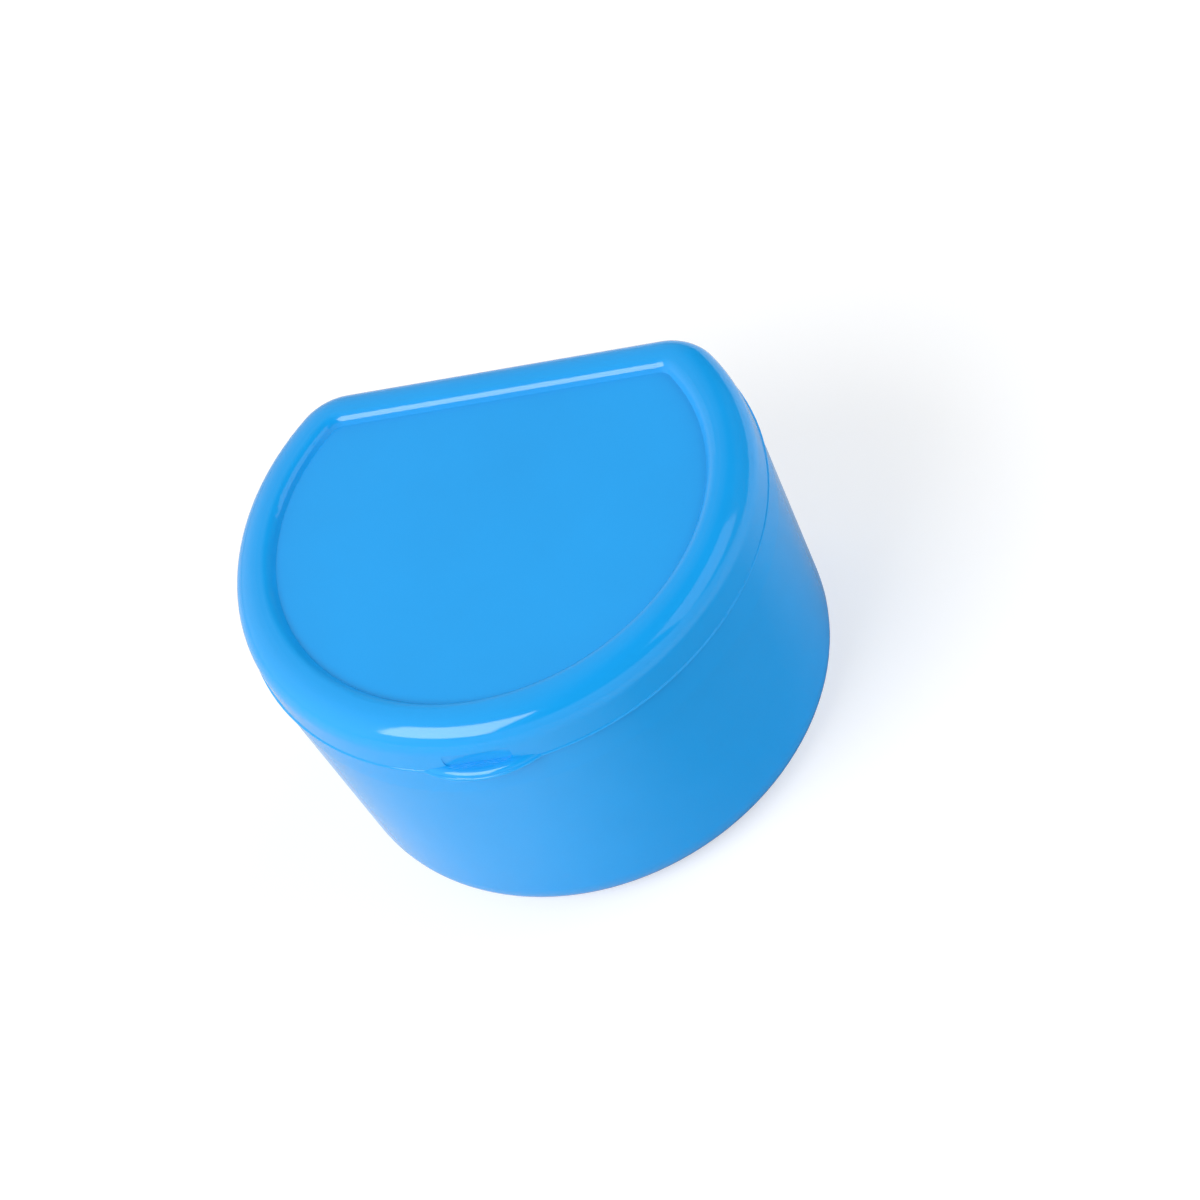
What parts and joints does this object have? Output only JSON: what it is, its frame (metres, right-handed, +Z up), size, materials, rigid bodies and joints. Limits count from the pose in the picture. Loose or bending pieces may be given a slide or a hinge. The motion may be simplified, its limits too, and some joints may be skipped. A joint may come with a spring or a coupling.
{
  "type": "denture case",
  "caption": "D-shaped plastic denture case with a hinged lid, a front thumb tab and a lift-out strainer basket.",
  "frame": {"origin": "middle of the footprint, on the surface that the case stands on", "axes": "+X to the right as seen from the front, +Y from the thumb tab at the front to the hinge at the straight back, +Z up"},
  "size_m": [0.0918, 0.0844, 0.056],
  "materials": {
    "case_plastic": "glossy moulded azure plastic",
    "lid_plastic": "glossy moulded azure plastic",
    "pin_steel": "ground stainless steel",
    "basket_plastic": "satin moulded pale plastic"
  },
  "bodies": {
    "case": {"case_body": "case_plastic", "hinge_pin": "pin_steel"},
    "lid": {"lid_shell": "lid_plastic"},
    "basket": {"strainer_basket": "basket_plastic"}
  },
  "joints": [
    {"name": "lid_hinge", "type": "hinge", "parent": "case", "child": "lid", "pos_m": [0, 0.03932, 0.0439], "axis": [-1, 0, 0], "range_deg": [0, 115]},
    {"name": "basket_lift", "type": "slide", "parent": "case", "child": "basket", "axis": [0, 0, 1], "range_m": [0, 0.0008]}
  ]
}
